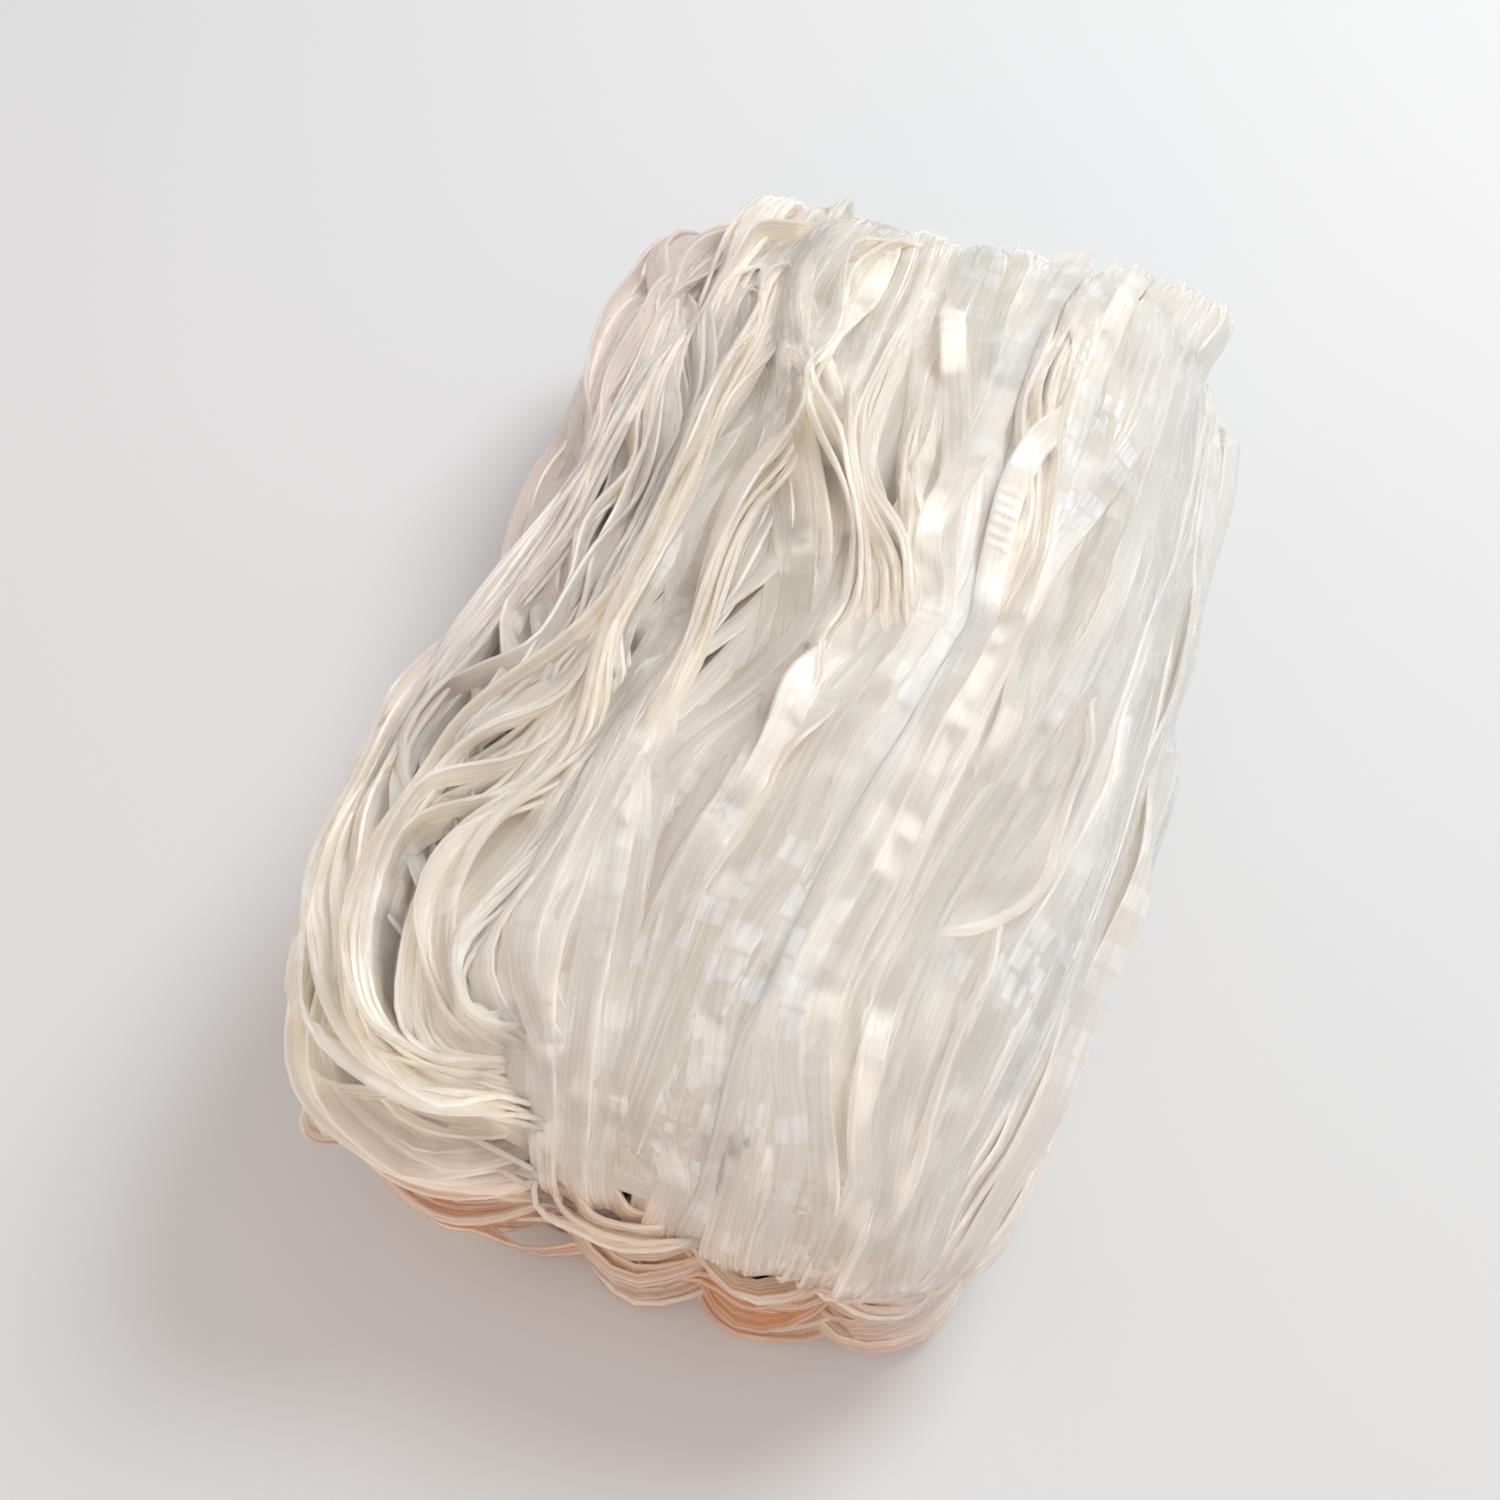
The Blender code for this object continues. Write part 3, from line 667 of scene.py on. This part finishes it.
def settle(noodles):
    # noodles that lie in each other push apart and tilt, until each lies on or beside the others
    owner = np.concatenate([np.full(len(one["middle"]), i) for i, one in enumerate(noodles)])
    middle = np.concatenate([one["middle"] for one in noodles])
    across = np.concatenate([one["across"] for one in noodles])
    outward = np.concatenate([one["out"] for one in noodles])
    solid = np.concatenate([one["solid"] for one in noodles])
    turning = np.concatenate([np.full(len(one["middle"]), one["turning"]) for one in noodles])
    home = middle.copy()
    before = np.append(False, owner[1:] == owner[:-1])[:, None]
    after = np.append(owner[1:] == owner[:-1], False)[:, None]
    half, need = noodleSize["width"] / 2, noodleSize["thickness"] + settling["gap"]
    stride = noodleSize["section"] * settling["hold"]

    def neighbours(values):
        return np.roll(values, 1, axis=0) * before, np.roll(values, -1, axis=0) * after

    def smooth(values, times):
        for _ in range(times):
            last, following = neighbours(values)
            values = (2 * values + last + following) / (2 + before + after)
        return values

    def directions():
        last, following = neighbours(middle)
        ahead = unit(np.where(after, following, middle) - np.where(before, last, middle))
        wide = unit(across - ahead * (across * ahead).sum(1, keepdims=True))
        return ahead, wide, np.cross(wide, ahead)

    tree = KDTree(len(middle))
    for i, point in enumerate(middle):
        tree.insert(point, i)
    tree.balance()
    first, second = [], []
    for i, point in enumerate(middle):
        found = [hit[1] for hit in tree.find_range(point, settling["reach"])]
        first += [i] * len(found)
        second += found
    first, second = np.array(first), np.array(second)
    ahead, across, face = directions()
    apart = middle[first] - middle[second]
    keep = np.abs((apart * ahead[second]).sum(1)) < stride * settling["pairHold"]
    keep &= (owner[first] != owner[second]) & solid[first] & solid[second]
    first, second, apart = first[keep], second[keep], apart[keep]

    # which noodle of a pair is the outer one, for its whole length
    count = len(noodles)
    height = (apart * face[second]).sum(1)
    total = np.zeros(count * count)
    np.add.at(total, owner[first] * count + owner[second], height)
    total = total.reshape(count, count)
    total = total - total.T
    listed = np.sign(np.arange(count)[None] - np.arange(count)[:, None])
    order = np.where(np.abs(total) > settling["sure"], np.sign(total), listed)
    outer = order[owner[first], owner[second]]

    for turn in range(settling["rounds"]):
        push = np.zeros((len(middle), 3))
        tilt = np.zeros(len(middle))
        hits = np.zeros(len(middle))
        for u in (-1, 0, 1):      # one edge, the middle and the other edge of a section
            point = middle[first] + across[first] * (u * half) - middle[second]
            level = (point * face[second]).sum(1)
            sideways = (point * across[second]).sum(1)
            depth = need - outer * level
            touch = (depth > 0) & (np.abs(sideways) < half)
            touch &= np.abs((point * ahead[second]).sum(1)) < stride
            i, j = first[touch], second[touch]
            d = np.minimum(depth[touch], settling["deepest"]) / 2
            shove = face[j] * (d * outer[touch])[:, None]
            lever = sideways[touch] / half
            for axis in range(3):
                push[:, axis] += np.bincount(i, shove[:, axis], len(middle))
                push[:, axis] -= np.bincount(j, shove[:, axis], len(middle))
            tilt += np.bincount(i, u * (shove * face[i]).sum(1), len(middle)) / half
            tilt -= np.bincount(j, lever * d * outer[touch], len(middle)) / half
            hits += np.bincount(i, minlength=len(middle)) + np.bincount(j, minlength=len(middle))
        share = settling["firmness"] / np.maximum(hits, 1)
        push = smooth(push * share[:, None] * settling["pushGain"], settling["smoothing"])
        tilt = (tilt * share * turning)[:, None] * settling["tiltGain"]
        tilt = smooth(tilt, settling["smoothing"])
        middle += push + (home - middle) * settling["pull"] - outward * settling["sink"]
        across = across * np.cos(tilt) + face * np.sin(tilt)
        ahead, across, face = directions()
        lowest = settling["floor"] + np.abs(across[:, 2]) * half + need / 2
        middle[:, 2] = np.maximum(middle[:, 2], lowest)
        if turn % settling["printEvery"] == 0 or turn == settling["rounds"] - 1:
            moved = np.linalg.norm(push, axis=1).mean()
            print(f"settling round {turn}: mean push {moved:.3f} mm, {int(hits.sum())} contacts")
    parts = np.cumsum([len(one["middle"]) for one in noodles])[:-1]
    split = [np.split(values, parts) for values in (middle, across, face)]
    for one, m, a, f in zip(noodles, *split):
        one.update(middle=m, across=a, face=f)


def toMesh(bm, name):
    mesh = bpy.data.meshes.new(name)
    bm.to_mesh(mesh)
    bm.free()
    return mesh


def addObject(name, data):
    made = bpy.data.objects.new(name, data)
    bpy.context.scene.collection.objects.link(made)
    return made


stripTemplates = {}


def stripTemplate(sections):
    # one straight noodle of unit length: a cube with its sides drawn out to an edge, cut up
    if sections in stripTemplates:
        return stripTemplates[sections]
    width, thickness = noodleSize["width"], noodleSize["thickness"]
    bm = bmesh.new()
    bmesh.ops.create_cube(bm, size=1)
    bmesh.ops.subdivide_edges(bm, edges=edgesAlong(bm, 2), cuts=1, use_grid_fill=True)
    bmesh.ops.scale(bm, vec=(1, width, thickness), verts=bm.verts)
    faceVerts = [vert for vert in bm.verts if abs(vert.co.z) > thickness / 4]
    bmesh.ops.scale(bm, vec=(1, 1 - 2 * noodleSize["edgeCut"] / width, 1), verts=faceVerts)
    bmesh.ops.subdivide_edges(bm, edges=edgesAlong(bm, 0), cuts=sections - 1, use_grid_fill=True)
    bmesh.ops.recalc_face_normals(bm, faces=bm.faces)
    stripTemplates[sections] = toMesh(bm, "noodle_strip")
    return stripTemplates[sections]


def edgesAlong(bm, axis):
    # the cube's edges that run along an axis
    return [edge for edge in bm.edges if abs(edge.verts[0].co[axis] - edge.verts[1].co[axis]) > 0.5]


def coordinates(mesh):
    # where the points of a mesh are
    places = np.empty(len(mesh.vertices) * 3, np.float32)
    mesh.vertices.foreach_get("co", places)
    return places.reshape(-1, 3).astype(float)


def makeNoodles(name, noodles, rng):
    # joins one strip for each noodle, then bends all of them onto their routes
    bm = bmesh.new()
    places, tones, lengths, edges = [], [], [], []
    for one in noodles:
        sections = len(one["middle"]) - 1
        template = stripTemplate(sections)
        bm.from_mesh(template)
        flat = coordinates(template)
        step = np.rint((flat[:, 0] + 0.5) * sections).astype(int)
        size = one["width"] * (1 + noodleSize["widthVariation"] * rng.normal())
        y, z = flat[:, 1:2] * size, flat[:, 2:3]
        places.append(one["middle"][step] + one["across"][step] * y - one["face"][step] * z)
        tones.append(np.full(len(flat), one["tone"]))
        lengths.append(one["along"][step])
        edges.append(flat[:, 1] / noodleSize["width"] * 2)    # -1 and 1 at the two edges
    mesh = toMesh(bm, name)
    points = (np.vstack(places) + blockShift) * mm
    mesh.vertices.foreach_set("co", points.astype(np.float32).ravel())
    for attribute, values in (("tone", tones), ("lengthAlong", lengths), ("across", edges)):
        made = mesh.attributes.new(attribute, "FLOAT", "POINT")
        made.data.foreach_set("value", np.concatenate(values).astype(np.float32))
    mesh.shade_smooth()
    mesh.set_sharp_from_angle(angle=math.radians(noodleSize["creaseAngle"]))
    mesh.update()
    return addObject(name, mesh)


noodleLook = {
    "milky": rgb(232, 225, 213),
    "ivory": rgb(212, 201, 181),
    "clear": rgb(194, 182, 160),
    # edge: a painted highlight colour, for the lit cut edges and the pale lines
    "edge": rgb(247, 243, 235),
    # painted glint colour for the picked facets
    "paintedGlint": rgb(255, 255, 255),
    # painted warm light reflected from below, with shade in the gaps, low at the near end
    "paintedWarmLight": rgb(190, 128, 88),
    # painted shade of the left side, a pinkish grey
    "paintedLeftShade": rgb(204, 184, 180),
    # painted cool light of the right side
    "paintedRightCoolLight": rgb(214, 214, 216),
    "blotchScale": 55.0,
    "toneShare": 0.6,         # what tone and blotches each add to the way from milky to ivory
    "clearShare": 0.3,        # strengths of the colours laid over that
    "lineShare": 0.4,
    "paintedWarmShare": 0.85,
    "paintedWarmBase": 0.45,         # how much of the painted warm light shows where no line is
    "paintedLeftShadeShare": 0.6,
    "paintedRightLightShare": 0.5,
    "rimShare": 0.35,
    "lines": (0.012, 4.5),    # steps of the lines' noise along a millimetre and across half a noodle
    "streaks": (0.12, 2.2),   # the same for the streaks
    "facetLength": 5.5,       # flat stretches, each tilted its own way, between creases
    "facetTilt": 0.09,
    "paintedGlintGroups": 24.0,      # scale of the noise that gathers the painted glints
    "paintedGlintLeft": 0.35,        # strength of the painted glints on the left, and how much more on the right
    "paintedGlintRight": 0.65,
    "ridgePitch": 2.3,
    "ridgeDepth": 0.00012,
    "ridgePatches": 0.03,
    "streakDepth": 0.0003,
    "relief": 0.5,
    "roughness": (0.15, 0.22),    # least roughness and what the streaks add
    "subsurface": 0.8,
    "subsurfaceRadius": (1.0, 0.9, 0.75),
    "subsurfaceDepth": 0.006,
    "ior": 1.45,
}
# Where each effect begins and is full: in its own noise, or in metres from the middle or the floor.
ranges = {
    "ivory": (0.3, 0.95),
    "clear": (0.48, 0.34),
    "line": (0.54, 0.64),
    # painted warm light and shade low at the near end, away from the pale lines
    "paintedWarmHeight": (0.05, 0.01),
    "paintedWarmNear": (-0.085, -0.108),
    "paintedWarmLine": (0.56, 0.44),
    # painted shade on the left side, away from the near end
    "left": (-0.03, -0.062),
    "paintedLeftShadeNear": (-0.06, -0.01),
    # painted cool light on the right side
    "right": (0.03, 0.062),
    # painted highlight on the cut edges
    "rim": (0.86, 1.0),
    # where the painted glints show: on picked facets, in groups, high and to the right
    "facet": (0.6, 0.75),
    "paintedGlintGroup": (0.4, 0.58),
    "paintedGlintWindow": (0.05, 0.5),
    "paintedGlintStreak": (0.34, 0.54),
    "paintedGlintRight": (-0.02, 0.04),
    "paintedGlintHeight": (0.03, 0.055),
    "ridgePatch": (0.56, 0.7),
}
# How far apart in their noises two noodles lie, from the tone of one to that of the other.
toneSteps = {"lines": 60.0, "facets": 37.0, "cells": 1000.0, "patches": 40.0}


class NodeTree:
    # short names for adding and joining shader nodes
    def __init__(self, name):
        self.material = bpy.data.materials.new(name)
        self.material.use_nodes = True
        self.tree = self.material.node_tree
        self.shader = self.tree.nodes["Principled BSDF"]

    def add(self, kind, values=(), **settings):
        node = self.tree.nodes.new("ShaderNode" + kind)
        for key, value in settings.items():
            setattr(node, key, value)
        for key, value in dict(values).items():
            self.feed(node.inputs[key], value)
        return node

    def feed(self, socket, value):
        if isinstance(value, bpy.types.NodeSocket):
            self.tree.links.new(value, socket)
        else:
            socket.default_value = value

    def math(self, operation, a, b=0.0):
        return self.add("Math", {0: a, 1: b}, operation=operation).outputs[0]

    def plus(self, a, b):
        return self.math("ADD", a, b)

    def times(self, first, *others):
        for value in others:
            first = self.math("MULTIPLY", first, value)
        return first

    def ramp(self, value, limits):
        low, high = limits
        node = self.add("MapRange", {"Value": value, "From Min": low, "From Max": high}, clamp=True)
        return node.outputs["Result"]

    def noise(self, place, scale=1.0, detail=3.0):
        values = {"Vector": place, "Scale": scale, "Detail": detail}
        return self.add("TexNoise", values).outputs["Fac"]

    def grain(self, x, y, z):
        # noise in a space of three values
        return self.noise(self.add("CombineXYZ", {"X": x, "Y": y, "Z": z}).outputs[0])

    def mix(self, share, first, second):
        node = self.add("Mix", data_type="RGBA")
        for number, value in ((0, share), (6, first), (7, second)):
            self.feed(node.inputs[number], value)
        return node.outputs[2]

    def attribute(self, name):
        return self.add("Attribute", attribute_name=name).outputs["Fac"]

    def bump(self, height, strength):
        node = self.add("Bump", {"Height": height, "Strength": strength, "Distance": 1.0})
        self.feed(self.shader.inputs["Normal"], node.outputs["Normal"])


def noodleMaterial():
    look = noodleLook
    n = NodeTree("dried_noodle")
    place = n.add("TexCoord").outputs["Object"]
    fromLeft, fromNear, height = n.add("SeparateXYZ", {"Vector": place}).outputs
    tone, along, across = (n.attribute(name) for name in ("tone", "lengthAlong", "across"))
    # each noodle has its own tone in soft blotches, with fine lines along it; its light cut edges are
    # a painted highlight
    blotches = n.noise(place, look["blotchScale"])
    share = n.plus(n.times(tone, look["toneShare"]), n.times(blotches, look["toneShare"]))
    colour = n.mix(n.ramp(share, ranges["ivory"]), look["milky"], look["ivory"])
    toneStep = n.times(tone, toneSteps["lines"])
    step, stepAcross = look["lines"]
    lines = n.grain(n.times(along, step), n.times(across, stepAcross), toneStep)
    share = n.times(n.ramp(lines, ranges["clear"]), look["clearShare"])
    colour = n.mix(share, colour, look["clear"])
    # pale lines along the noodle: partly its own streaks, partly a painted highlight of stacked edges
    share = n.times(n.ramp(lines, ranges["line"]), look["lineShare"])
    colour = n.mix(share, colour, look["edge"])
    # painted warm light from below and shade in the gaps, low at the near end
    paintedWarm = n.times(n.ramp(height, ranges["paintedWarmHeight"]), n.ramp(fromNear, ranges["paintedWarmNear"]))
    broken = n.plus(look["paintedWarmBase"], n.ramp(lines, ranges["paintedWarmLine"]))
    paintedWarm = n.times(paintedWarm, broken, look["paintedWarmShare"])
    colour = n.mix(paintedWarm, colour, look["paintedWarmLight"])
    # painted shade: the left side is drawn towards a pinkish grey
    paintedLeftShadeMask = n.times(n.ramp(fromLeft, ranges["left"]), n.ramp(fromNear, ranges["paintedLeftShadeNear"]))
    colour = n.mix(n.times(paintedLeftShadeMask, look["paintedLeftShadeShare"]), colour, look["paintedLeftShade"])
    # painted cool light: the right side is drawn towards a cool grey
    paintedRightLightMask = n.times(n.ramp(fromLeft, ranges["right"]), look["paintedRightLightShare"])
    colour = n.mix(paintedRightLightMask, colour, look["paintedRightCoolLight"])
    # painted highlight on the cut edges
    rim = n.times(n.ramp(n.math("ABSOLUTE", across), ranges["rim"]), look["rimShare"])
    colour = n.mix(rim, colour, look["edge"])
    step, stepAcross = look["streaks"]
    streaks = n.grain(n.times(along, step), n.times(across, stepAcross), toneStep)
    # facets: short flat stretches, each tilted its own way; the picked ones get a painted glint of
    # white, most of them high on the right
    steps = n.math("DIVIDE", along, look["facetLength"])
    steps = n.plus(steps, n.times(tone, toneSteps["facets"]))
    cell = {"X": n.math("FLOOR", steps), "Y": n.times(tone, toneSteps["cells"])}
    cell = n.add("CombineXYZ", cell).outputs[0]
    facet = n.add("TexWhiteNoise", {"Vector": cell}, noise_dimensions="2D").outputs["Value"]
    groups = n.noise(place, look["paintedGlintGroups"], detail=1.0)
    paintedGlintShare = n.times(n.ramp(facet, ranges["facet"]), n.ramp(groups, ranges["paintedGlintGroup"]))
    window = n.math("SINE", n.times(n.math("FRACT", steps), math.pi))
    paintedGlintShare = n.times(paintedGlintShare, n.ramp(window, ranges["paintedGlintWindow"]))
    paintedGlintShare = n.times(paintedGlintShare, n.ramp(streaks, ranges["paintedGlintStreak"]))
    toRight = n.times(n.ramp(fromLeft, ranges["paintedGlintRight"]), look["paintedGlintRight"])
    paintedGlintShare = n.times(paintedGlintShare, n.plus(look["paintedGlintLeft"], toRight))
    paintedGlintShare = n.times(paintedGlintShare, n.ramp(height, ranges["paintedGlintHeight"]))
    # painted glints: the picked facets are mixed towards white
    colour = n.mix(paintedGlintShare, colour, look["paintedGlint"])
    n.feed(n.shader.inputs["Base Color"], colour)
    # relief: the facets' tilt, cross ridges in patches and fine streaks along the noodle
    rise = n.times(n.math("SUBTRACT", facet, 0.5), n.math("FRACT", steps))
    rise = n.times(rise, look["facetTilt"] * look["facetLength"] * mm)
    ridges = n.math("SINE", n.times(along, 2 * math.pi / look["ridgePitch"]))
    patches = n.times(tone, toneSteps["patches"])
    patches = n.grain(n.times(along, look["ridgePatches"]), patches, 0.0)
    relief = n.times(ridges, n.ramp(patches, ranges["ridgePatch"]), look["ridgeDepth"])
    relief = n.plus(n.plus(relief, n.times(streaks, look["streakDepth"])), rise)
    n.bump(relief, look["relief"])
    least, added = look["roughness"]
    n.feed(n.shader.inputs["Roughness"], n.plus(n.times(streaks, added), least))
    n.shader.subsurface_method = "BURLEY"
    n.shader.inputs["Subsurface Weight"].default_value = look["subsurface"]
    n.shader.inputs["Subsurface Radius"].default_value = look["subsurfaceRadius"]
    n.shader.inputs["Subsurface Scale"].default_value = look["subsurfaceDepth"]
    n.shader.inputs["IOR"].default_value = look["ior"]
    return n.material


# What fills the middle, seen only between the noodles: the block's own form, drawn in.
inside = {
    "depth": 5.5,             # how far it lies under the block's outside
    "steps": 3,               # steps in which it is drawn in and smoothed
    "smoothing": 4,
    "smoothFactor": 0.5,
    "cell": 4.5,
    "mergeDistance": 0.01,
    "colour": rgb(222, 212, 196),
    "streak": rgb(200, 186, 166),
    "streakRange": (0.35, 0.65),
    "grain": (260.0, 14.0, 260.0),
    "grainDepth": 0.002,
    "relief": 0.6,
    "roughness": 0.5,
}


def makeInside():
    bm = bmesh.new()
    bm.from_mesh(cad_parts[blockNode].data)
    bmesh.ops.remove_doubles(bm, verts=bm.verts, dist=inside["mergeDistance"] * mm)
    piece = addObject("inside", toMesh(bm, "inside"))
    remesh = piece.modifiers.new("even_cells", "REMESH")
    remesh.mode = "VOXEL"
    remesh.voxel_size = inside["cell"] * mm
    graph = bpy.context.evaluated_depsgraph_get()
    even = bpy.data.meshes.new_from_object(piece.evaluated_get(graph))
    piece.modifiers.clear()
    bm = bmesh.new()
    bm.from_mesh(even)
    for step in range(inside["steps"]):
        for _ in range(inside["smoothing"]):
            bmesh.ops.smooth_vert(bm, verts=bm.verts, factor=inside["smoothFactor"], use_axis_x=True,
                                  use_axis_y=True, use_axis_z=True)
        bm.normal_update()
        for vert in bm.verts:
            vert.co -= vert.normal * (inside["depth"] / inside["steps"] * mm)
    bmesh.ops.recalc_face_normals(bm, faces=bm.faces)
    for face in bm.faces:
        face.smooth = True
    bm.to_mesh(piece.data)
    bm.free()
    piece.data.materials.clear()
    piece.data.materials.append(insideMaterial())
    return piece


def insideMaterial():
    n = NodeTree("dried_noodle_inside")
    place = n.add("TexCoord").outputs["Object"]
    drawn = n.add("Mapping", {"Vector": place, "Scale": inside["grain"]}).outputs[0]
    streaks = n.noise(drawn)
    colour = n.mix(n.ramp(streaks, inside["streakRange"]), inside["streak"], inside["colour"])
    n.feed(n.shader.inputs["Base Color"], colour)
    n.bump(n.times(streaks, inside["grainDepth"]), inside["relief"])
    n.shader.inputs["Roughness"].default_value = inside["roughness"]
    return n.material


def addPiece(piece):
    # sets a finished piece in the block's place and tells its triangles
    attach(piece, "root")
    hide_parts(blockNode)
    triangles = sum(len(face.vertices) - 2 for face in piece.data.polygons)
    print(f"{piece.name}: {triangles} triangles")
    return triangles


def main():
    rng = np.random.default_rng(seed)
    material = noodleMaterial()
    noodles = [noodle for one in traces for noodle in layTrace(one, rng)]
    noodles += layBetween(rng)
    print(f"laid {len(noodles)} noodles that show")
    for one in locks:
        noodles += layTangle(one, rng) if one["piece"] == base else layLock(one, rng)
    noodles += layWeave(rng) + layUnderside(rng)
    print(f"laid {len(noodles)} noodles in all, {sum(len(one['middle']) for one in noodles)} sections")
    settle(noodles)
    total = addPiece(makeInside())
    for name in (side, loop, centre, right, base, under):
        piece = makeNoodles(name, [one for one in noodles if one["piece"] == name], rng)
        piece.data.materials.append(material)
        total += addPiece(piece)
    print(f"{total} triangles in all")


main()

cameraView = {
    "azimuth": 18.5,
    "elevation": 58.0,
    "distance": 370.0,
    "aim": (-7.1, -16.5, 32.9),
    "lens": 48.0,
    "clipStart": 0.01,
}
# Azimuth and elevation, size, power and colour of the lights.
lights = {
    "window": (150, 50, 420, 4.4, (0.94, 0.97, 1.0)),
    "left_fill": (-75, 25, 600, 0.5, (1.0, 0.7, 0.62)),
    "front_fill": (5, 22, 600, 1.3, (1.0, 0.66, 0.42)),
}
studio = {
    "lightDistance": 900,
    "room": 0.36,             # strength of the even white light from all sides
    "floorHalf": 3.0,         # in metres
    "floorColour": (0.9, 0.9, 0.9, 1),
    "floorRoughness": 0.9,
    "gamma": 1.35,
}


def direction(azimuth, elevation):
    a, e = math.radians(azimuth), math.radians(elevation)
    return np.array((math.sin(a) * math.cos(e), -math.cos(a) * math.cos(e), math.sin(e)))


def aimAt(obj, place, target):
    obj.location = Vector(place) * mm
    obj.rotation_euler = Vector(target - np.array(place)).to_track_quat("-Z", "Y").to_euler()


def makeFloor():
    bm = bmesh.new()
    bmesh.ops.create_grid(bm, x_segments=1, y_segments=1, size=studio["floorHalf"])
    floor = addObject("floor", toMesh(bm, "floor"))
    n = NodeTree("pale_floor")
    n.shader.inputs["Base Color"].default_value = studio["floorColour"]
    n.shader.inputs["Roughness"].default_value = studio["floorRoughness"]
    floor.data.materials.append(n.material)


def makeLights():
    for name, (azimuth, elevation, size, power, colour) in lights.items():
        light = bpy.data.lights.new(name, "AREA")
        light.shape = "DISK"
        light.size = size * mm
        light.energy = power
        light.color = colour
        place = direction(azimuth, elevation) * studio["lightDistance"]
        aimAt(addObject(name, light), place, np.zeros(3))
    world = bpy.data.worlds.new("white_room")
    world.use_nodes = True
    room = world.node_tree.nodes["Background"]
    room.inputs["Color"].default_value = (1, 1, 1, 1)
    room.inputs["Strength"].default_value = studio["room"]
    bpy.context.scene.world = world


def makeCamera():
    camera = bpy.data.cameras.new("camera")
    camera.lens = cameraView["lens"]
    camera.clip_start = cameraView["clipStart"]
    viewer = addObject("camera", camera)
    aim = np.array(cameraView["aim"])
    place = aim + direction(cameraView["azimuth"], cameraView["elevation"]) * cameraView["distance"]
    aimAt(viewer, place, aim)
    bpy.context.scene.camera = viewer


makeFloor()
makeLights()
makeCamera()
scene = bpy.context.scene
scene.view_settings.view_transform = "Standard"
scene.view_settings.gamma = studio["gamma"]
scene.cycles.diffuse_bounces = 3      # these three keep the render quick
scene.cycles.max_bounces = 5
scene.cycles.use_light_tree = False
print("floor, lights and camera made")
